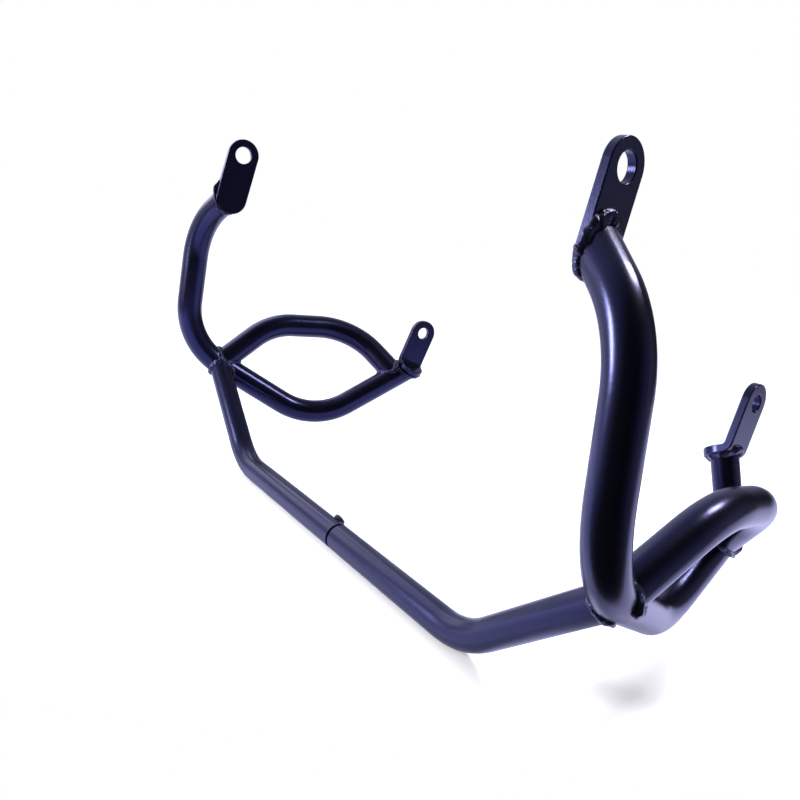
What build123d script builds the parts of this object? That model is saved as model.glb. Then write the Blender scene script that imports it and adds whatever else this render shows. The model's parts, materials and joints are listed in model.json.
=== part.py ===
from build123d import *
import os
from math import cos, isclose, radians, sin, tan

# Motorcycle crash bars: two welded tube halves that slide together on a spigot in the lower
# cross tube. X points to the rider's left, Y to the rear and Z up. The bars are drawn from the
# middle of the cross tube's axis, then stand with the origin at the bottom centre of their
# bounding box. Sizes are millimetres and degrees.

# Tube and plate stock
TUBE_OD = 25.0
CROSS_OD = 22.0
POST_OD = 20.0
TUBE_WALL = 2.0
BEND_RADIUS = 70.0
PLATE = 6.0
PLATE_EDGE = 0.8
BEAD = 2.4

# Corners of the tube centre lines on the left half: distances out from the middle plane, back
# or forward of the cross tube, and up. The right half mirrors them.
SHOULDER_OUT = 286.0
SHOULDER_UP = 222.0
ELBOW_OUT = 295.0
ELBOW_UP = 98.0
UPRIGHT_FORWARD = 33.0
HEEL_OUT = 240.0
HEEL_BACK = 104.0
LEFT_HEEL_UP = 31.0
RIGHT_HEEL_UP = 24.0
KNEE_OUT = 178.0

# The left main tube runs on past its post; the right one ends under its bracket
TAIL_OUT = 211.0
TAIL_BACK = 220.0
TAIL_UP = 80.0

# The loops of the two braces differ a little, since the brackets stand at two heights
LOOP_FRONT_OUT = 283.0
LOOP_FRONT_UP = 125.0
LEFT_LOOP_FRONT_BACK = 73.0
RIGHT_LOOP_FRONT_BACK = 59.0
LOOP_REAR_OUT = 265.0
LOOP_REAR_BACK = 152.0
LEFT_LOOP_REAR_UP = 116.0
RIGHT_LOOP_REAR_UP = 129.0

# Distances along the main tube's runs, from the corner at the start of each run
JUNCTION_ALONG = 42.0
LEFT_BRACE_ALONG = 95.0
RIGHT_BRACE_ALONG = 107.0
POST_ALONG = 115.0

# Upper tabs: a flat plate with round ends, hung on its bolt hole
UPPER_HOLE_OUT = 240.0
UPPER_HOLE_FORWARD = 12.5
UPPER_HOLE_UP = 296.0
UPPER_BORE = 16.0
TAB_WIDTH = 30.0
TAB_SPAN = 43.0
TAB_LEAN = 10.0
TAB_TOE = 7.5
LANDING_FORWARD = 2.5

# Rear brackets: a strip bent inwards below its bolt hole, with a round foot
REAR_HOLE_OUT = 205.5
REAR_HOLE_BACK = 211.0
LEFT_REAR_HOLE_UP = 166.7
RIGHT_REAR_HOLE_UP = 138.0
REAR_BORE = 13.0
STRIP_WIDTH = 28.5
STRIP_LEAN = 17.0
FOLD_DROP = 34.0
FOLD_INNER = 3.0
FOLD_ANGLE = 65.0
FOOT_LENGTH = 3.0

# Joint in the cross tube
JOINT_X = 10.0
JOINT_GAP = 3.0
SPIGOT_LENGTH = 90.0
SPIGOT_WALL = 4.0
SPIGOT_CLEARANCE = 0.2
SCREW_INSET = 16.0
SCREW_ANGLE = 50.0
SCREW_SIZE = 6.0
SCREW_CLEARANCE = 0.6
SCREW_HEAD = 10.5
SCREW_HEAD_HEIGHT = 3.3
SCREW_HEAD_ROUND = 2.0
SCREW_SOCKET = 4.0
SCREW_SOCKET_DEPTH = 2.0
END_CAP = 3.0

# Points and sizes that follow from those above
SHOULDER = Vector(SHOULDER_OUT, -UPRIGHT_FORWARD, SHOULDER_UP)
ELBOW = Vector(ELBOW_OUT, -UPRIGHT_FORWARD, ELBOW_UP)
LEFT_HEEL = Vector(HEEL_OUT, HEEL_BACK, LEFT_HEEL_UP)
RIGHT_HEEL = Vector(HEEL_OUT, HEEL_BACK, RIGHT_HEEL_UP)
KNEE = Vector(KNEE_OUT, 0, 0)
LEFT_TAIL = Vector(TAIL_OUT, TAIL_BACK, TAIL_UP)
LEFT_LOOP = [Vector(LOOP_FRONT_OUT, LEFT_LOOP_FRONT_BACK, LOOP_FRONT_UP),
             Vector(LOOP_REAR_OUT, LOOP_REAR_BACK, LEFT_LOOP_REAR_UP)]
RIGHT_LOOP = [Vector(LOOP_FRONT_OUT, RIGHT_LOOP_FRONT_BACK, LOOP_FRONT_UP),
              Vector(LOOP_REAR_OUT, LOOP_REAR_BACK, RIGHT_LOOP_REAR_UP)]
UPPER_HOLE = Vector(UPPER_HOLE_OUT, -UPPER_HOLE_FORWARD, UPPER_HOLE_UP)
LEFT_REAR_HOLE = Vector(REAR_HOLE_OUT, REAR_HOLE_BACK, LEFT_REAR_HOLE_UP)
RIGHT_REAR_HOLE = Vector(REAR_HOLE_OUT, REAR_HOLE_BACK, RIGHT_REAR_HOLE_UP)
CROSS_BORE = CROSS_OD - 2 * TUBE_WALL
BEAD_GROWTH = 2 * BEAD
OVERRUN = TUBE_OD
STUB = 1.6 * TUBE_OD
TAB_STUB = 0.8 * TUBE_OD
CLEAR_WAY = 3 * TUBE_OD
MIDDLE = Plane.YZ


def unit(vector):
    return vector.normalized()


def along(start, end, distance):
    """The point at a distance from start on the way to end."""
    return start + unit(end - start) * distance


def rod(points, diameter):
    """A round bar along straight runs joined by tangent bends."""
    path = FilletPolyline(*points, radius=BEND_RADIUS) if len(points) > 2 else Line(*points)
    spans = []
    for edge in path.edges():
        section = Plane(origin=edge @ 0, z_dir=edge % 0) * Circle(diameter / 2)
        straight = edge.geom_type == GeomType.LINE
        spans.append(extrude(section, amount=edge.length) if straight else sweep(section, path=edge))
    return spans[0].fuse(*spans[1:]) if len(spans) > 1 else spans[0]


def plate_frame(hole, lean):
    """Frame of a left-hand tab: origin in its hole, x to the rear, y up the tab, z outboard."""
    toe = radians(TAB_TOE)
    tilt = radians(lean)
    outboard = (cos(toe), sin(toe), 0)
    rearward = (-sin(toe) * cos(tilt), cos(toe) * cos(tilt), -sin(tilt))
    return Plane(origin=hole, x_dir=rearward, z_dir=outboard).location


def foot_frame(tab):
    """Frame of a bracket's foot: origin at the middle of the round, z out of its upper face."""
    bend = FOLD_INNER + PLATE / 2
    turn = radians(FOLD_ANGLE)
    y = -FOLD_DROP - bend * sin(turn) - FOOT_LENGTH * cos(turn)
    z = bend * cos(turn) - bend - FOOT_LENGTH * sin(turn)
    foot = Plane(origin=(0, y, z), x_dir=(1, 0, 0), z_dir=(0, sin(turn), -cos(turn)))
    return tab * foot.location


def trimmed(bar, frame, face):
    """A bar cut flush with the face of a plate, at a height in the plate's frame."""
    waste = extrude(Circle(CLEAR_WAY), amount=-CLEAR_WAY)
    return bar - frame * Pos(0, 0, face) * waste


def inside_of_fold(tab, growth=0.0):
    """The space on the inner side of a bracket's outer skin, or of that skin grown outwards."""
    reach = FOLD_INNER + PLATE + growth
    turn = radians(FOLD_ANGLE)
    corner = Vector(-FOLD_DROP - reach * tan(turn / 2), PLATE / 2 + growth)
    up = Vector(CLEAR_WAY, 0)
    inwards = Vector(-cos(turn), -sin(turn)) * CLEAR_WAY
    profile = Polyline(corner, corner + up, corner + up + inwards, corner + inwards, close=True)
    profile = make_face(profile)
    profile = fillet(profile.vertices().sort_by_distance(corner)[0], reach)
    across = Plane(origin=(0, 0, 0), x_dir=(0, 1, 0), z_dir=(1, 0, 0))
    return tab * across.location * extrude(profile, amount=CLEAR_WAY / 2, both=True)


def soften(plate):
    """Break the sharp rims of a flat plate that lies in its own frame."""
    rims = [edge for face in plate.faces().filter_by(Axis.Z) for edge in face.edges()]
    return fillet(rims, PLATE_EDGE)


def upper_outline():
    return Pos(0, -TAB_SPAN / 2) * Rot(0, 0, 90) * SlotCenterToCenter(TAB_SPAN, TAB_WIDTH)


def upper_tab(frame):
    outline = upper_outline() - Circle(UPPER_BORE / 2)
    return frame * soften(extrude(outline, amount=PLATE / 2, both=True))


def rear_bracket(tab):
    """The strip: an upright tab with its hole, the fold, and the round foot, all with soft rims."""
    upright = Pos(0, -FOLD_DROP / 2) * Rectangle(STRIP_WIDTH, FOLD_DROP) + Circle(STRIP_WIDTH / 2)
    upright = extrude(upright - Circle(REAR_BORE / 2), amount=PLATE / 2, both=True)
    bend_axis = Axis((0, -FOLD_DROP, -FOLD_INNER - PLATE / 2), (1, 0, 0))
    fold_start = Plane(origin=(0, -FOLD_DROP, 0), x_dir=(1, 0, 0), z_dir=(0, -1, 0))
    fold = revolve(fold_start * Rectangle(STRIP_WIDTH, PLATE), axis=bend_axis, revolution_arc=FOLD_ANGLE)
    flat = Pos(0, -FOOT_LENGTH / 2) * Rectangle(STRIP_WIDTH, FOOT_LENGTH)
    round_end = Circle(STRIP_WIDTH / 2) & Pos(0, STRIP_WIDTH / 2) * Rectangle(STRIP_WIDTH, STRIP_WIDTH)
    foot = foot_frame(tab) * extrude(flat + round_end, amount=PLATE / 2, both=True)
    strip = tab * (upright + fold) + foot
    plain_lengths = (STRIP_WIDTH, PLATE)
    rims = [edge for edge in strip.edges() if not any(isclose(edge.length, size) for size in plain_lengths)]
    return fillet(rims, PLATE_EDGE)


def saddle_bead(branch, branch_od, seat):
    """The bead in the corner where a coped tube stands on the tube that carries it."""
    bead = rod(branch, branch_od + BEAD_GROWTH) & rod(seat, TUBE_OD + BEAD_GROWTH)
    return bead - rod(branch, branch_od) - rod(seat, TUBE_OD)


def half(rear_hole, heel, tail, loop, brace_along, cross_start):
    """One half, drawn on the left side. With a tail, the bracket stands on a post."""
    tab = plate_frame(UPPER_HOLE, TAB_LEAN)
    strip = plate_frame(rear_hole, STRIP_LEAN)
    landing = Vector(*(tab * Location((-LANDING_FORWARD, -TAB_SPAN, PLATE / 2))).position)
    foot_middle = Vector(*foot_frame(strip).position)
    main_start = along(landing, SHOULDER, -OVERRUN)
    main_end = tail if tail else along(foot_middle, heel, -OVERRUN)
    junction = along(ELBOW, heel, JUNCTION_ALONG)
    brace_end = along(heel, main_end, brace_along)
    main_points = [main_start, SHOULDER, ELBOW, heel, main_end]
    cross_points = [Vector(cross_start, 0, 0), KNEE, junction]
    brace_points = [junction, loop[0], loop[1], brace_end]
    above_bracket = inside_of_fold(strip)
    above_fold = strip * Pos(0, CLEAR_WAY / 2 - FOLD_DROP, 0) * Box(CLEAR_WAY, CLEAR_WAY, CLEAR_WAY)
    bracket_skin = inside_of_fold(strip, BEAD) - above_bracket - above_fold
    tab_skin = tab * Pos(0, 0, PLATE / 2) * extrude(upper_outline(), amount=BEAD)

    main = trimmed(rod(main_points, TUBE_OD), tab, PLATE / 2)
    cross = rod(cross_points, CROSS_OD)
    brace = rod(brace_points, TUBE_OD)
    if not tail:
        main -= above_bracket
        brace -= above_bracket
    pieces = {
        "main_tube": main - rod(main_points, TUBE_OD - 2 * TUBE_WALL),
        "cross_tube": cross - rod(cross_points, CROSS_BORE) - main,
        "brace_tube": brace - rod(brace_points, TUBE_OD - 2 * TUBE_WALL) - main - cross,
        "upper_tab": upper_tab(tab),
        "rear_bracket": rear_bracket(strip),
    }

    tab_stub = [main_start, along(landing, SHOULDER, TAB_STUB)]
    cross_stub = [along(junction, KNEE, STUB), junction]
    front_stub = [junction, along(junction, loop[0], STUB)]
    rear_stub = [brace_end, along(brace_end, loop[1], STUB)]
    elbow_run = [(SHOULDER + ELBOW) / 2, ELBOW, (ELBOW + heel) / 2]
    rear_run = [along(brace_end, heel, TUBE_OD), along(brace_end, heel, -TUBE_OD)]
    rear_weld = saddle_bead(rear_stub, TUBE_OD, rear_run) - above_bracket
    pieces["upper_tab_weld"] = (rod(tab_stub, TUBE_OD + BEAD_GROWTH) & tab_skin) - rod(tab_stub, TUBE_OD)
    pieces["cross_weld"] = saddle_bead(cross_stub, CROSS_OD, elbow_run) - rod(front_stub, TUBE_OD)
    front_weld = saddle_bead(front_stub, TUBE_OD, elbow_run)
    pieces["brace_front_weld"] = front_weld - rod(cross_stub, CROSS_OD + BEAD_GROWTH)
    grown_rear_stub = rod(rear_stub, TUBE_OD + BEAD_GROWTH)

    if tail:
        post_foot = along(heel, tail, POST_ALONG)
        post_points = [post_foot, along(foot_middle, post_foot, -OVERRUN)]
        post_run = [along(post_foot, heel, TUBE_OD), tail]
        post = rod(post_points, POST_OD) - above_bracket
        rear_weld -= post
        pieces["bracket_post"] = post - rod(post_points, POST_OD - 2 * TUBE_WALL) - main - brace
        pieces["post_weld"] = saddle_bead(post_points, POST_OD, post_run) - grown_rear_stub
        pieces["bracket_weld"] = (rod(post_points, POST_OD + BEAD_GROWTH) & bracket_skin) - post
        cap_plane = Plane(origin=tail, z_dir=tail - heel)
        pieces["tube_end_cap"] = cap_plane * extrude(Circle(TUBE_OD / 2), amount=END_CAP)
    else:
        end_stub = [along(foot_middle, heel, STUB), main_end]
        open_side = Pos(0, CLEAR_WAY / 2 - FOOT_LENGTH, 0) * Box(CLEAR_WAY, CLEAR_WAY, CLEAR_WAY)
        ring = rod(end_stub, TUBE_OD + BEAD_GROWTH) & bracket_skin & foot_frame(strip) * open_side
        pieces["bracket_weld"] = ring - rod(end_stub, TUBE_OD) - grown_rear_stub
    pieces["brace_rear_weld"] = rear_weld
    return pieces


def joint_screw():
    """Button-head screw through the right cross tube, with its shank in the spigot."""
    seat = CROSS_OD / 2
    head = Pos(0, 0, seat) * extrude(Circle(SCREW_HEAD / 2), amount=SCREW_HEAD_HEIGHT)
    head = fillet(head.faces().sort_by(Axis.Z)[-1].edges(), SCREW_HEAD_ROUND)
    socket_floor = seat + SCREW_HEAD_HEIGHT - SCREW_SOCKET_DEPTH
    socket = Pos(0, 0, socket_floor) * extrude(
        RegularPolygon(SCREW_SOCKET / 2, 6, major_radius=False), amount=SCREW_HEAD_HEIGHT)
    tip = CROSS_BORE / 2 - SPIGOT_WALL
    shank = Pos(0, 0, tip) * extrude(Circle(SCREW_SIZE / 2), amount=seat - tip)
    return head + shank - socket


def screw_place():
    return Location((JOINT_X - SCREW_INSET, 0, 0)) * Location((0, 0, 0), (-SCREW_ANGLE, 0, 0))


def cross_hole(diameter):
    """A hole along the screw's axis, from the middle of the tube outwards."""
    return screw_place() * extrude(Circle(diameter / 2), amount=CROSS_OD)


def joint_spigot():
    """Sleeve that fills the left bore and slides in the right one."""
    left = extrude(Circle(CROSS_BORE / 2), amount=SPIGOT_LENGTH / 2)
    right = extrude(Circle((CROSS_BORE - SPIGOT_CLEARANCE) / 2), amount=-SPIGOT_LENGTH / 2)
    inside = extrude(Circle(CROSS_BORE / 2 - SPIGOT_WALL), amount=SPIGOT_LENGTH / 2, both=True)
    sleeve = Plane(origin=(JOINT_X, 0, 0), z_dir=(1, 0, 0)) * (left + right - inside)
    return sleeve - cross_hole(SCREW_SIZE)


left_start = JOINT_X + JOINT_GAP / 2
right_start = JOINT_GAP / 2 - JOINT_X
left_half = half(LEFT_REAR_HOLE, LEFT_HEEL, LEFT_TAIL, LEFT_LOOP, LEFT_BRACE_ALONG, left_start)
right_half = half(RIGHT_REAR_HOLE, RIGHT_HEEL, None, RIGHT_LOOP, RIGHT_BRACE_ALONG, right_start)

nodes = {f"left_{name}": piece for name, piece in left_half.items()}
nodes.update({f"right_{name}": mirror(piece, about=MIDDLE) for name, piece in right_half.items()})
nodes["right_cross_tube"] -= cross_hole(SCREW_SIZE + SCREW_CLEARANCE)
nodes["joint_spigot"] = joint_spigot()
nodes["joint_screw"] = screw_place() * joint_screw()

bounds = Compound(list(nodes.values())).bounding_box()
bottom_centre = Vector(0, bounds.center().Y, bounds.min.Z)
print("bottom centre", bottom_centre)

os.makedirs("parts", exist_ok=True)
for name, piece in nodes.items():
    export_step(Pos(-bottom_centre) * piece, f"parts/{name}.step")
    print(name, round(piece.volume, 1))
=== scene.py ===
# %% [markdown]
# # Motorcycle crash bars
# A pair of engine guards: two halves of bent and welded steel tube, sleeved together under the
# engine and bolted to the machine at four drilled plates. The tubes, plates, spigot and screw come
# from the CAD model and keep their exact shape. This lesson gives each of them its finish, lays
# rippled weld beads in the seams and sets up the studio. The frame is loaded first.

# %% Load the frame
import json
import random
from math import atan2, cos, pi, sin, tanh

import bmesh
import bpy
from mathutils import Matrix, Vector
from mathutils import noise as field
from mathutils.bvhtree import BVHTree


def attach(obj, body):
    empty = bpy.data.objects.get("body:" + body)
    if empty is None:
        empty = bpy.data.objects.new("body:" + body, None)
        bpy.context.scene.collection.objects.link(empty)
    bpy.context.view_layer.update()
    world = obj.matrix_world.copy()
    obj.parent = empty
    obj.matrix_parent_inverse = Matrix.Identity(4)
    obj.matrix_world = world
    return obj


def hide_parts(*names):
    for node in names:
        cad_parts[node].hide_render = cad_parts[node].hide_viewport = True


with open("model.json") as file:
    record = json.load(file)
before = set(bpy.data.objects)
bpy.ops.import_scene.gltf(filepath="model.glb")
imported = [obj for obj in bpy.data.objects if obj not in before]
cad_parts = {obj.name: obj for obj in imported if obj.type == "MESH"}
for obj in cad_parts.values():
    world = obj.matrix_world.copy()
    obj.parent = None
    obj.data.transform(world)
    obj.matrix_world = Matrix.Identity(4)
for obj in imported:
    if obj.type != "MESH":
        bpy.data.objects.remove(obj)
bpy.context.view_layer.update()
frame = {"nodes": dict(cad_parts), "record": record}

nodes = frame["nodes"]
print("CAD nodes:", len(nodes))

# %% [markdown]
# ## Colours and shader nodes
# Every finish is drawn by shader nodes. Pictures wrapped round the tubes would do too, but nodes
# need no unwrapping and keep their detail at any distance. Colours are written as sRGB hex, as a
# colour picker shows them, and one function turns them into the linear values that shaders use.
# Patterns are sized in millimetres, and one function adds a node with its settings and links.

# %% Colours and shader nodes
MM = 0.001


def srgb(code):
    """Linear colour with alpha from a hex code such as "#1a1a22"."""
    channels = [int(code[i:i + 2], 16) / 255 for i in (1, 3, 5)]
    linear = [c / 12.92 if c <= 0.04045 else ((c + 0.055) / 1.055) ** 2.4 for c in channels]
    return (*linear, 1.0)


def per_mm(size):
    """Texture scale whose features are about that many millimetres across."""
    return 1.0 / (size * MM)


def add(tree, kind, sockets, **settings):
    """Adds one shader node. A socket takes a value, or another node's output to link from."""
    made = tree.nodes.new(kind)
    for name, value in settings.items():
        setattr(made, name, value)
    for name, value in sockets.items():
        if isinstance(value, bpy.types.NodeSocket):
            tree.links.new(value, made.inputs[name])
        else:
            made.inputs[name].default_value = value
    return made


print("mid grey in linear light:", round(srgb("#808080")[0], 3))

# %% A bare material
# A Mix node has sockets for each type of data. These are the places of its two colours and its result.
FIRST, SECOND, MIXED = 6, 7, 2
# Most values of a noise pattern lie in this range.
NOISE_RANGE = {"From Min": 0.3, "From Max": 0.7}


def bare_material(name):
    """A new material with no nodes yet."""
    material = bpy.data.materials.new(name)
    material.use_nodes = True
    material.node_tree.nodes.clear()
    return material


print("noise values used:", NOISE_RANGE)

# %% [markdown]
# ## Satin black powder coat
# The bars are sprayed with dry powder that melts in an oven and flows into a thick black film with
# a faint orange peel. One plain glossy black would do from afar, but close up it looks like wet
# plastic. So three noise patterns shape it: broad patches in the colour, the peel as a soft relief,
# and a fine grain that breaks up the gloss. The tint of the gloss carries the photo's cool light.

# %% Satin black powder coat
# To the eye: deep black with soft highlights that waver a little, and a cool blue in the gloss.
COOL = srgb("#9498f0")
COAT_IOR = 1.6
PATCH_WIDTH = 30.0
PEEL_WIDTH = 2.0
PEEL_DEPTH = 0.02
GRAIN_WIDTH = 0.4    # coarser than a real coat's grain, so that it can show
GRAIN_DEPTH = 0.003

satin_black = bare_material("satin_black_powder_coat")
tree = satin_black.node_tree
spot = add(tree, "ShaderNodeTexCoord", {}).outputs["Object"]
patches = add(tree, "ShaderNodeTexNoise", {"Vector": spot, "Scale": per_mm(PATCH_WIDTH)})
peel = add(tree, "ShaderNodeTexNoise", {"Vector": spot, "Scale": per_mm(PEEL_WIDTH), "Detail": 1.0})
grain = add(tree, "ShaderNodeTexNoise", {"Vector": spot, "Scale": per_mm(GRAIN_WIDTH)})
black = add(tree, "ShaderNodeMix", {
    "Factor": patches.outputs["Fac"], FIRST: srgb("#030306"), SECOND: srgb("#07070c")}, data_type="RGBA")
satin = add(tree, "ShaderNodeMapRange", {
    "Value": grain.outputs["Fac"], **NOISE_RANGE, "To Min": 0.2, "To Max": 0.28})
wavy = add(tree, "ShaderNodeBump", {"Height": peel.outputs["Fac"], "Distance": PEEL_DEPTH * MM})
grainy = add(tree, "ShaderNodeBump", {
    "Height": grain.outputs["Fac"], "Distance": GRAIN_DEPTH * MM, "Normal": wavy.outputs["Normal"]})
film = add(tree, "ShaderNodeBsdfPrincipled", {
    "Base Color": black.outputs[MIXED],
    "Roughness": satin.outputs["Result"],
    "IOR": COAT_IOR,
    "Specular Tint": COOL,
    "Normal": grainy.outputs["Normal"],
})
add(tree, "ShaderNodeOutputMaterial", {"Surface": film.outputs["BSDF"]})
print("powder coat nodes:", len(tree.nodes))

# %% [markdown]
# ## Powder coat over weld metal
# The same powder lies on the welds, but there it covers rough metal, and it pools into a glossier
# skin over the lumps. The lumps could all be modelled, at a great many faces. Here the mesh of a
# bead has the scales and the larger lumps, and a deep relief in the shader adds the small ones.

# %% Powder coat over weld metal
# To the eye: a wet-looking, lumpy black that glitters in many small highlights.
LUMP_WIDTH = 2.5
LUMP_DEPTH = 0.9
WELD_PATCH_WIDTH = 4.0
WELD_GRAIN_WIDTH = 0.5
WELD_GRAIN_DEPTH = 0.02

weld_black = bare_material("black_powder_coat_on_weld")
tree = weld_black.node_tree
spot = add(tree, "ShaderNodeTexCoord", {}).outputs["Object"]
patches = add(tree, "ShaderNodeTexNoise", {"Vector": spot, "Scale": per_mm(WELD_PATCH_WIDTH)})
lumps = add(tree, "ShaderNodeTexNoise", {
    "Vector": spot, "Scale": per_mm(LUMP_WIDTH), "Detail": 3.0, "Roughness": 0.6})
grain = add(tree, "ShaderNodeTexNoise", {"Vector": spot, "Scale": per_mm(WELD_GRAIN_WIDTH)})
black = add(tree, "ShaderNodeMix", {
    "Factor": patches.outputs["Fac"], FIRST: srgb("#08080c"), SECOND: srgb("#16161e")}, data_type="RGBA")
wet = add(tree, "ShaderNodeMapRange", {
    "Value": grain.outputs["Fac"], **NOISE_RANGE, "To Min": 0.1, "To Max": 0.18})
lumpy = add(tree, "ShaderNodeBump", {"Height": lumps.outputs["Fac"], "Distance": LUMP_DEPTH * MM})
grainy = add(tree, "ShaderNodeBump", {
    "Height": grain.outputs["Fac"], "Distance": WELD_GRAIN_DEPTH * MM, "Normal": lumpy.outputs["Normal"]})
film = add(tree, "ShaderNodeBsdfPrincipled", {
    "Base Color": black.outputs[MIXED],
    "Roughness": wet.outputs["Result"],
    "IOR": COAT_IOR,
    "Specular Tint": COOL,
    "Normal": grainy.outputs["Normal"],
})
add(tree, "ShaderNodeOutputMaterial", {"Surface": film.outputs["BSDF"]})
print("weld coat nodes:", len(tree.nodes))

# %% [markdown]
# ## Phosphated sleeve
# The spigot that joins the halves shows only as a dark ring in the gap of the cross tube. Flat black
# would be enough for so little. One noise pattern for colour, roughness and relief costs no more,
# and the spigot then holds up when the halves are taken apart.

# %% Phosphated sleeve
# To the eye: a dull charcoal with a fine, dry grain and hardly any highlight.
SLEEVE_GRAIN_WIDTH = 0.6
SLEEVE_GRAIN_DEPTH = 0.01

sleeve_black = bare_material("matt_phosphated_sleeve")
tree = sleeve_black.node_tree
spot = add(tree, "ShaderNodeTexCoord", {}).outputs["Object"]
grain = add(tree, "ShaderNodeTexNoise", {"Vector": spot, "Scale": per_mm(SLEEVE_GRAIN_WIDTH), "Detail": 3.0})
charcoal = add(tree, "ShaderNodeMix", {
    "Factor": grain.outputs["Fac"], FIRST: srgb("#0a0a0d"), SECOND: srgb("#141418")}, data_type="RGBA")
dull = add(tree, "ShaderNodeMapRange", {
    "Value": grain.outputs["Fac"], **NOISE_RANGE, "To Min": 0.5, "To Max": 0.7})
grainy = add(tree, "ShaderNodeBump", {"Height": grain.outputs["Fac"], "Distance": SLEEVE_GRAIN_DEPTH * MM})
skin = add(tree, "ShaderNodeBsdfPrincipled", {
    "Base Color": charcoal.outputs[MIXED],
    "Roughness": dull.outputs["Result"],
    "Normal": grainy.outputs["Normal"],
})
add(tree, "ShaderNodeOutputMaterial", {"Surface": skin.outputs["BSDF"]})
print("sleeve nodes:", len(tree.nodes))

# %% [markdown]
# ## Black oxide screw
# The joint screw is forged steel with a black oxide skin, which a spanner rubs thin in places. A
# metal shader with a dark colour is one way. A dark skin with a plain gloss is simpler and closer,
# because the oxide covers the metal. Patches change its colour and roughness together, as wear does.

# %% Black oxide screw
# To the eye: dark grey, uneven, with a slightly oily gloss.
WEAR_WIDTH = 3.0
FORGE_GRAIN_WIDTH = 0.5
FORGE_GRAIN_DEPTH = 0.008

oxide_black = bare_material("black_oxide_steel")
tree = oxide_black.node_tree
spot = add(tree, "ShaderNodeTexCoord", {}).outputs["Object"]
wear = add(tree, "ShaderNodeTexNoise", {"Vector": spot, "Scale": per_mm(WEAR_WIDTH), "Detail": 3.0})
grain = add(tree, "ShaderNodeTexNoise", {"Vector": spot, "Scale": per_mm(FORGE_GRAIN_WIDTH)})
grey = add(tree, "ShaderNodeMix", {
    "Factor": wear.outputs["Fac"], FIRST: srgb("#17171d"), SECOND: srgb("#2a2a33")}, data_type="RGBA")
oily = add(tree, "ShaderNodeMapRange", {
    "Value": wear.outputs["Fac"], **NOISE_RANGE, "To Min": 0.28, "To Max": 0.45})
grainy = add(tree, "ShaderNodeBump", {"Height": grain.outputs["Fac"], "Distance": FORGE_GRAIN_DEPTH * MM})
skin = add(tree, "ShaderNodeBsdfPrincipled", {
    "Base Color": grey.outputs[MIXED],
    "Roughness": oily.outputs["Result"],
    "Specular Tint": COOL,
    "Normal": grainy.outputs["Normal"],
})
add(tree, "ShaderNodeOutputMaterial", {"Surface": skin.outputs["BSDF"]})
print("oxide nodes:", len(tree.nodes))

# %% [markdown]
# ## Finishes on the pieces
# Each piece could be given its material by name. The record already names one material slot for
# each of them, so a short table from slot to finish reaches all of them and misses none.

# %% Put the finishes on the CAD nodes
finishes = {
    "powder_coat": satin_black,
    "coated_weld": weld_black,
    "spigot_steel": sleeve_black,
    "black_screw": oxide_black,
}
for part in frame["record"]["subparts"]:
    node = nodes[part["node"]]
    for material_slot in node.material_slots:
        material_slot.material = finishes[part["material_slot"]]

# %% [markdown]
# ## Where the tubes meet
# The beads follow the tubes, so they start from the corners of the tubes' centre lines. These could
# be read off the meshes, but a bent tube's mesh doesn't say where its corners were. They are written
# here in millimetres, measured from the middle of the cross tube. All of them are on the left side:
# those that differ on the right half have their own names, and are mirrored where they are used.

# %% Corners of the centre lines
BOTTOM = Vector((0, 91.3505, -11))    # the frame's origin, seen from the middle of the cross tube


def point(x, y, z):
    """A point measured in millimetres from the middle of the cross tube, in the frame."""
    return (Vector((x, y, z)) - BOTTOM) * MM


SHOULDER = point(286, -33, 222)
ELBOW = point(295, -33, 98)
KNEE = point(178, 0, 0)
LANDING = point(244.27, -21.95, 254.08)    # the main tube's end on the upper tab
LEFT_HEEL = point(240, 104, 31)
RIGHT_HEEL = point(240, 104, 24)
LEFT_TAIL = point(211, 220, 80)
LEFT_LOOP = (point(283, 73, 125), point(265, 152, 116))
RIGHT_LOOP = (point(283, 59, 125), point(265, 152, 129))
LEFT_FOOT = point(200.92, 198.39, 127.77)    # the middle of each rear bracket's foot
RIGHT_FOOT = point(200.92, 198.39, 99.07)
print("elbow:", [round(v, 4) for v in ELBOW])

# %% Ends of the tubes that are welded on
MAIN_TUBE = 25           # outer diameters, the brace tube's is the main tube's
CROSS_TUBE = 22
POST_TUBE = 20
JUNCTION_RUN = 42        # from the elbow to where the cross tube and the brace tube start
LEFT_BRACE_RUN = 95      # from the heel to where the brace tube ends
RIGHT_BRACE_RUN = 107
POST_RUN = 115           # from the heel to the foot of the bracket post


def toward(start, end, distance):
    """The point that many millimetres from start on the way to end."""
    return start + (end - start).normalized() * distance * MM


left_junction = toward(ELBOW, LEFT_HEEL, JUNCTION_RUN)
right_junction = toward(ELBOW, RIGHT_HEEL, JUNCTION_RUN)
left_brace_end = toward(LEFT_HEEL, LEFT_TAIL, LEFT_BRACE_RUN)
right_brace_end = toward(RIGHT_HEEL, RIGHT_FOOT, RIGHT_BRACE_RUN)
post_foot = toward(LEFT_HEEL, LEFT_TAIL, POST_RUN)
print("left junction:", [round(v, 4) for v in left_junction])

# %% [markdown]
# ## Finding a seam
# A bead lies where the skin of one tube meets another piece, on a curve that climbs and falls round
# the tube. That curve could be worked out from the two shapes. The model already holds it, so rays
# are sent along the tube's skin instead, and each stops where the other piece is. Where a ray meets
# nothing, the tube stands past the edge of a plate, and there is no seam.

# %% Heights round a ring


def smooth(values, reach):
    """Each value of a ring averaged with its neighbours."""
    near = range(-reach, reach + 1)
    return [sum(values[(i + k) % len(values)] for k in near) / len(near) for i in range(len(values))]


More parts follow.
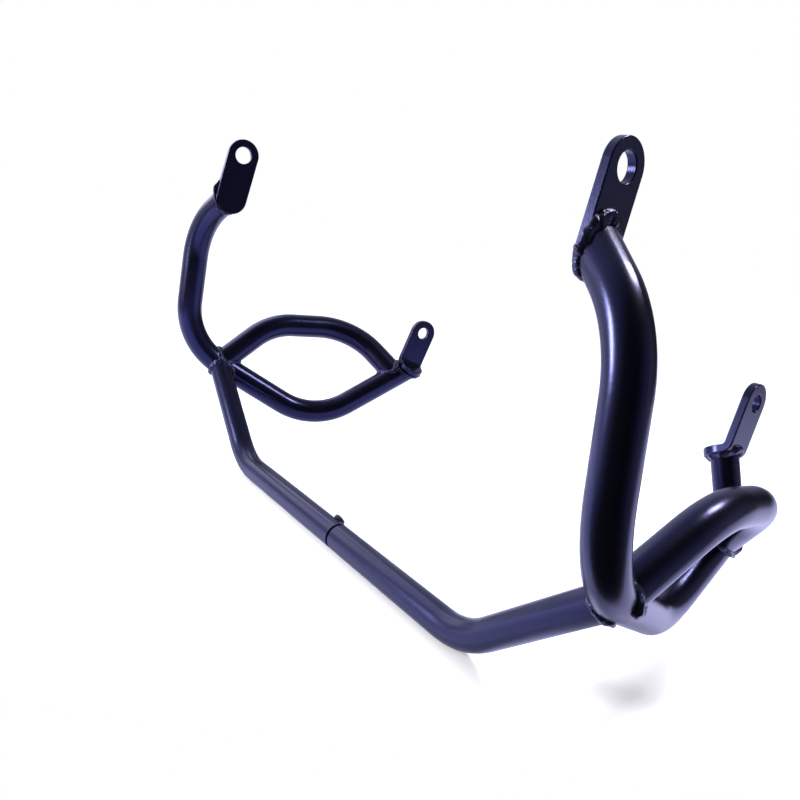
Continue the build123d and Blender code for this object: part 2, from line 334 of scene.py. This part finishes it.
def bridged(heights):
    """The heights of a ring, with gaps bridged from the nearest known ones."""
    count = len(heights)
    known = [i for i in range(count) if heights[i] is not None]
    full = []
    for i in range(count):
        before = min(known, key=lambda k: (i - k) % count)
        after = min(known, key=lambda k: (k - i) % count)
        share = ((i - before) % count) / max((after - before) % count, 1)
        full.append(heights[before] * (1 - share) + heights[after] * share)
    return full


print("a bridged ring:", bridged([0.0, None, 1.0, None]))

# %% Rays along the skin
STATIONS = 240        # rays round the tube
REACH = 45            # how far from the foot a ray starts and ends
HEIGHT_REACH = 2      # neighbours that even out the heights
END_REACH = 5         # neighbours over which a bead fades where its seam ends


def seam(foot, axis, side, up, radius, seat):
    """How far along the axis the seam lies at each station, and whether there is a seam at all."""
    mesh = nodes[seat].data
    target = BVHTree.FromPolygons([vertex.co for vertex in mesh.vertices],
                                  [polygon.vertices for polygon in mesh.polygons])
    heights = []
    for i in range(STATIONS):
        turn = 2 * pi * i / STATIONS
        skin = foot + (side * cos(turn) + up * sin(turn)) * radius
        hit = target.ray_cast(skin + axis * REACH * MM, -axis, 2 * REACH * MM)[0]
        heights.append((hit - skin).dot(axis) if hit else None)
    there = [0.0 if height is None else 1.0 for height in heights]
    return smooth(bridged(heights), HEIGHT_REACH), smooth(there, END_REACH)


print("rays for each seam:", STATIONS)

# %% [markdown]
# ## Laying a bead
# A welder lays a bead as a row of small overlapping scales. Hand modelling would show them best, but
# ten beads on curved seams would take days, and a relief in the shader would leave the beads' edges
# straight. So a round section is spun into a ring about the tube. Every vertex is then slid along
# the tube into the seam and swells and shrinks with the scales and with a noise field. The dice are
# seeded with the bead's name, so each bead has its own scales and keeps them.

# %% A plain ring
SECTION = 24    # corners of the round section


def ring(foot, axis, side, radius, size):
    """A closed ring round the axis at foot, with a round section of that size in millimetres."""
    bm = bmesh.new()
    columns = Matrix((side, axis, side.cross(axis))).transposed().to_4x4()
    place = Matrix.Translation(foot + side * radius) @ columns
    bmesh.ops.create_circle(bm, segments=SECTION, radius=size * MM, matrix=place)
    bmesh.ops.spin(bm, geom=bm.verts[:] + bm.edges[:], cent=foot, axis=axis, angle=2 * pi,
                   steps=STATIONS, use_merge=True)
    return bm


def as_object(bm, name, material):
    """The bmesh as an object of the scene, in one material."""
    mesh = bpy.data.meshes.new(name)
    bm.to_mesh(mesh)
    bm.free()
    mesh.materials.append(material)
    made = bpy.data.objects.new(name, mesh)
    bpy.context.scene.collection.objects.link(made)
    return made


print("faces of each ring:", SECTION * STATIONS)

# %% Scales, lumps and weight of a bead
SKIN = 0.3             # the rays run this far inside the tube's skin
SCALE_PITCH = 3.0      # length of a scale along the seam
SWELL = 0.03           # scales differ in size by this share
STAGGER = 0.15         # and lie this far up or down the tube
CREST, SLOPE = 1.02, 0.05           # a scale starts high and falls towards the next
LUMP_PITCH, LUMP_SHARE = 5.0, 0.4   # the uneven flow of the metal
LIGHT_SIDE, HEAPED = 0.9, 0.7       # a bead that is heaped on one side is thinner on the other
INNER = 2.0            # the ring reaches this far into the tube's wall at most


def bead(node_name, foot, beyond, tube, seat, size=3.9, sunk=1.1, depth=4.0, heavy=None):
    """A rippled bead round the tube that runs from foot to beyond, heaped towards heavy.

    In millimetres, size is the radius of its section, sunk is how far the section's middle lies
    inside the tube and the seat, and depth is the furthest that it reaches into the seat.
    """
    axis = (beyond - foot).normalized()
    side = axis.orthogonal().normalized()
    up = axis.cross(side)
    radius = (tube / 2 - sunk) * MM
    heights, there = seam(foot, axis, side, up, (tube / 2 - SKIN) * MM, seat)
    bm = ring(foot, axis, side, radius, size)

    dice = random.Random(node_name)
    scales = round(pi * tube / SCALE_PITCH)
    swell = [dice.uniform(1 - SWELL, 1 + SWELL) for _ in range(scales)]
    shift = [dice.uniform(-STAGGER, STAGGER) * MM for _ in range(scales)]
    for vertex in bm.verts:
        offset = vertex.co - foot
        rise = offset.dot(axis)
        flat = offset - axis * rise
        turn = atan2(flat.dot(up), flat.dot(side)) / (2 * pi) % 1.0
        station = round(turn * STATIONS) % STATIONS
        scale, phase = divmod(turn * scales, 1.0)
        scale = int(scale) % scales
        flow = 1 + LUMP_SHARE * field.noise(vertex.co / (LUMP_PITCH * MM))
        load = LIGHT_SIDE + HEAPED * max(flat.normalized().dot(heavy), 0) if heavy else 1.0
        grow = there[station] * load * flow * swell[scale] * (CREST - SLOPE * phase ** 2)
        spread = (flat.length - radius) * grow
        out = radius + (spread if spread > 0 else INNER * MM * tanh(spread / (INNER * MM)))
        level = heights[station] + max(shift[scale] - sunk * MM + rise * grow, -depth * MM)
        vertex.co = foot + flat.normalized() * out + axis * level
    bmesh.ops.recalc_face_normals(bm, faces=bm.faces[:])
    for face in bm.faces:
        face.smooth = True

    piece = as_object(bm, node_name + "_bead", weld_black)
    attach(piece, "root")
    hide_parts(node_name)
    print("bead:", node_name, "scales:", scales)


print("scale pitch:", SCALE_PITCH, "mm")

# %% [markdown]
# ## The ten beads
# Each bead takes the end of its tube, a point further along it, the tube's diameter and the piece
# that it stands on. At an upper tab the metal is heaped on the top side, and it is shallower there,
# so that it stays inside the thin plate. The front of the right half mirrors the left one, so its
# points are the same with the sign of x turned. The seam at the right rear bracket keeps the bead
# of the CAD model.

# %% Beads of the left half
TAB_BEAD = {"size": 4.2, "sunk": 1.3, "depth": 2.0, "heavy": Vector((0, 0, 1))}
bead("left_upper_tab_weld", LANDING, SHOULDER, MAIN_TUBE, "left_upper_tab", **TAB_BEAD)
bead("left_cross_weld", left_junction, KNEE, CROSS_TUBE, "left_main_tube")
bead("left_brace_front_weld", left_junction, LEFT_LOOP[0], MAIN_TUBE, "left_main_tube")
bead("left_brace_rear_weld", left_brace_end, LEFT_LOOP[1], MAIN_TUBE, "left_main_tube")
bead("left_post_weld", post_foot, LEFT_FOOT, POST_TUBE, "left_main_tube")
bead("left_bracket_weld", LEFT_FOOT, post_foot, POST_TUBE, "left_rear_bracket")

# %% Beads of the right half


def other(spot):
    """The same point on the other half."""
    return Vector((-spot.x, spot.y, spot.z))


bead("right_upper_tab_weld", other(LANDING), other(SHOULDER), MAIN_TUBE, "right_upper_tab", **TAB_BEAD)
bead("right_cross_weld", other(right_junction), other(KNEE), CROSS_TUBE, "right_main_tube")
bead("right_brace_front_weld", other(right_junction), other(RIGHT_LOOP[0]), MAIN_TUBE, "right_main_tube")
bead("right_brace_rear_weld", other(right_brace_end), other(RIGHT_LOOP[1]), MAIN_TUBE, "right_main_tube")

# %% [markdown]
# ## Camera
# The picture is taken from the front left, close to the near half, which therefore looks much larger
# than the far one. A camera can be placed by eye and nudged until the picture looks right. Here it
# was worked out from the edges of the tubes in the photo, so its numbers aren't round.

# %% Camera at the photo's viewing angle
FORWARD = Vector((-0.79541, 0.56854, -0.20997))
RIGHT = Vector((0.54836, 0.82265, 0.15017))
UP = Vector((-0.25811, -0.00431, 0.96611))
EYE = point(519.29, -323.81, 250.06)
SENSOR_WIDTH = 36.0
LENS = 35.503

camera_data = bpy.data.cameras.new("camera")
camera_data.sensor_width = SENSOR_WIDTH
camera_data.lens = LENS
camera = bpy.data.objects.new("camera", camera_data)
bpy.context.scene.collection.objects.link(camera)
axes = Matrix((RIGHT, UP, -FORWARD)).transposed().to_4x4()
camera.matrix_world = Matrix.Translation(EYE) @ axes
bpy.context.scene.camera = camera
print("camera at:", [round(v, 3) for v in camera.location])

# %% [markdown]
# ## White paper
# The bars lie on white studio paper. A sheet that curves up behind them is the usual way. Here the
# room behind is as white as the paper, so one flat sheet is enough, and it catches the shadow. The
# camera sees it lifted a little towards white, and the gloss of the tubes sees it in a cooler tone.

# %% Matt white paper
# To the eye: an even, dull white with the faintest mottle.
MOTTLE_WIDTH = 60.0
LIFT = 0.08

white_paper = bare_material("matt_white_paper")
tree = white_paper.node_tree
spot = add(tree, "ShaderNodeTexCoord", {}).outputs["Object"]
ray = add(tree, "ShaderNodeLightPath", {})
mottle = add(tree, "ShaderNodeTexNoise", {"Vector": spot, "Scale": per_mm(MOTTLE_WIDTH)})
white = add(tree, "ShaderNodeMix", {
    "Factor": mottle.outputs["Fac"], FIRST: srgb("#f8f8fa"), SECOND: srgb("#fcfcfd")}, data_type="RGBA")
tone = add(tree, "ShaderNodeMix", {
    "Factor": ray.outputs["Is Glossy Ray"], FIRST: white.outputs[MIXED], SECOND: srgb("#cfcffb")},
    data_type="RGBA")
lift = add(tree, "ShaderNodeMath", {0: ray.outputs["Is Camera Ray"], 1: LIFT}, operation="MULTIPLY")
dull = add(tree, "ShaderNodeMapRange", {
    "Value": mottle.outputs["Fac"], **NOISE_RANGE, "To Min": 0.8, "To Max": 0.9})
matt = add(tree, "ShaderNodeBsdfPrincipled", {
    "Base Color": tone.outputs[MIXED],
    "Emission Color": srgb("#ffffff"),
    "Emission Strength": lift.outputs["Value"],
    "Roughness": dull.outputs["Result"],
    "Specular IOR Level": 0.0,
})
add(tree, "ShaderNodeOutputMaterial", {"Surface": matt.outputs["BSDF"]})
print("paper nodes:", len(tree.nodes))

# %% The sheet
# Its corners, in metres ahead of the point under the camera and to the right of it.
SHEET = ((0.36, -0.42), (0.36, 1.3), (30.0, 25.0), (30.0, -20.0))
EYE_FOOT = Vector((EYE.x, EYE.y, 0))
AHEAD = Vector((FORWARD.x, FORWARD.y, 0)).normalized()
ASIDE = Vector((RIGHT.x, RIGHT.y, 0)).normalized()

bm = bmesh.new()
corners = [bm.verts.new(EYE_FOOT + AHEAD * ahead + ASIDE * aside) for ahead, aside in SHEET]
bm.faces.new(corners)
bmesh.ops.recalc_face_normals(bm, faces=bm.faces[:])
floor = as_object(bm, "studio_paper", white_paper)
print("paper corners:", [[round(v, 2) for v in corner.co] for corner in floor.data.vertices])

# %% [markdown]
# ## Room
# A glossy tube shows the room around it. In the photo the tubes have light rims and black middles,
# which means a room that is bright behind the bars and dark on the camera's side. Walls could be
# built for that, but the world's shader does it with no geometry: two soft bright walls for the
# gloss, plain white for the camera and an even fill for everything else.

# %% Room
FILL = 0.66

world = bpy.data.worlds.new("white_room")
bpy.context.scene.world = world
world.use_nodes = True
tree = world.node_tree


def bright_wall(tree, direction, focus, strength):
    """Light that is strongest from one direction and fades round the room from there."""
    view = add(tree, "ShaderNodeTexCoord", {}).outputs["Generated"]
    facing = add(tree, "ShaderNodeVectorMath", {0: view, 1: Vector(direction).normalized()},
                 operation="DOT_PRODUCT")
    lit = add(tree, "ShaderNodeMath", {0: facing.outputs["Value"], 1: 0.0}, operation="MAXIMUM")
    narrow = add(tree, "ShaderNodeMath", {0: lit.outputs["Value"], 1: focus}, operation="POWER")
    scaled = add(tree, "ShaderNodeMath", {0: narrow.outputs["Value"], 1: strength}, operation="MULTIPLY")
    return scaled.outputs["Value"]


far_wall = bright_wall(tree, direction=(-0.93, -0.2, 0.32), focus=1.0, strength=1.35)
rear_wall = bright_wall(tree, direction=(0.75, 0.65, 0.1), focus=6.0, strength=0.6)
walls = add(tree, "ShaderNodeMath", {0: far_wall, 1: rear_wall}, operation="ADD")
mirrored = add(tree, "ShaderNodeBackground", {"Color": srgb("#d4d6ff"), "Strength": walls.outputs["Value"]})
even = add(tree, "ShaderNodeBackground", {"Color": srgb("#ffffff"), "Strength": 1.0})
fill = add(tree, "ShaderNodeBackground", {"Color": srgb("#f8f8ff"), "Strength": FILL})
print("room nodes:", len(tree.nodes))

# %% Which rays see which room
ray = add(tree, "ShaderNodeLightPath", {})
glossy = add(tree, "ShaderNodeMath", {
    0: ray.outputs["Is Glossy Ray"], 1: ray.outputs["Is Transmission Ray"]}, operation="MAXIMUM")
room = add(tree, "ShaderNodeMixShader", {
    0: glossy.outputs["Value"], 1: fill.outputs["Background"], 2: mirrored.outputs["Background"]})
shown = add(tree, "ShaderNodeMixShader", {
    0: ray.outputs["Is Camera Ray"], 1: room.outputs["Shader"], 2: even.outputs["Background"]})
tree.links.new(shown.outputs["Shader"], tree.nodes["World Output"].inputs["Surface"])
print("room links:", len(tree.links))

# %% [markdown]
# ## Soft lights
# The long highlights on the tubes are the mirror images of lamps. Small lamps would draw thin hard
# lines, so these are soft rectangles: one at the left and one above for the near half, and a large
# weak one beyond the bars for the far half. A broad sun stands for the ceiling. It gives the soft
# shadow on the paper and is kept out of the gloss, where it would add a highlight of its own.

# %% Soft rectangles
NEAR_SIDE = Vector((0.29, -0.06, 0.2))
FAR_SIDE = Vector((0.1, -0.09, 0.02))


def softbox(name, aim, away, width, height, watts):
    """A rectangular soft light that is turned to a point and stands away from it."""
    data = bpy.data.lights.new(name, "AREA")
    data.shape = "RECTANGLE"
    data.size = width
    data.size_y = height
    data.energy = watts
    light = bpy.data.objects.new(name, data)
    spot = aim + Vector(away)
    turned = (aim - spot).to_track_quat("-Z", "Y").to_matrix().to_4x4()
    light.matrix_world = Matrix.Translation(spot) @ turned
    bpy.context.scene.collection.objects.link(light)
    print("soft light:", name, watts, "W")


softbox("left_light", NEAR_SIDE, away=(-0.68, -0.97, 0.16), width=0.22, height=0.42, watts=20)
softbox("top_light", NEAR_SIDE, away=(0.06, 0.55, 1.0), width=0.25, height=0.3, watts=12)
softbox("far_light", FAR_SIDE, away=(-1.04, -0.22, 0.75), width=0.9, height=0.9, watts=4)

# %% Ceiling
CEILING_STRENGTH = 1.35
CEILING_ANGLE = 0.5    # radians: the wider it is, the softer the shadow
CEILING_DIRECTION = Vector((0.1, -0.3, -0.9))

overhead = bpy.data.lights.new("ceiling_light", "SUN")
overhead.energy = CEILING_STRENGTH
overhead.angle = CEILING_ANGLE
ceiling = bpy.data.objects.new("ceiling_light", overhead)
ceiling.matrix_world = CEILING_DIRECTION.to_track_quat("-Z", "Y").to_matrix().to_4x4()
ceiling.visible_glossy = False
bpy.context.scene.collection.objects.link(ceiling)
print("ceiling light:", CEILING_STRENGTH)

# %% [markdown]
# ## View transform
# The beads must stay inside the box of the CAD model. The picture is shown with the Standard view
# transform.

# %% View transform
bpy.context.scene.view_settings.view_transform = "Standard"
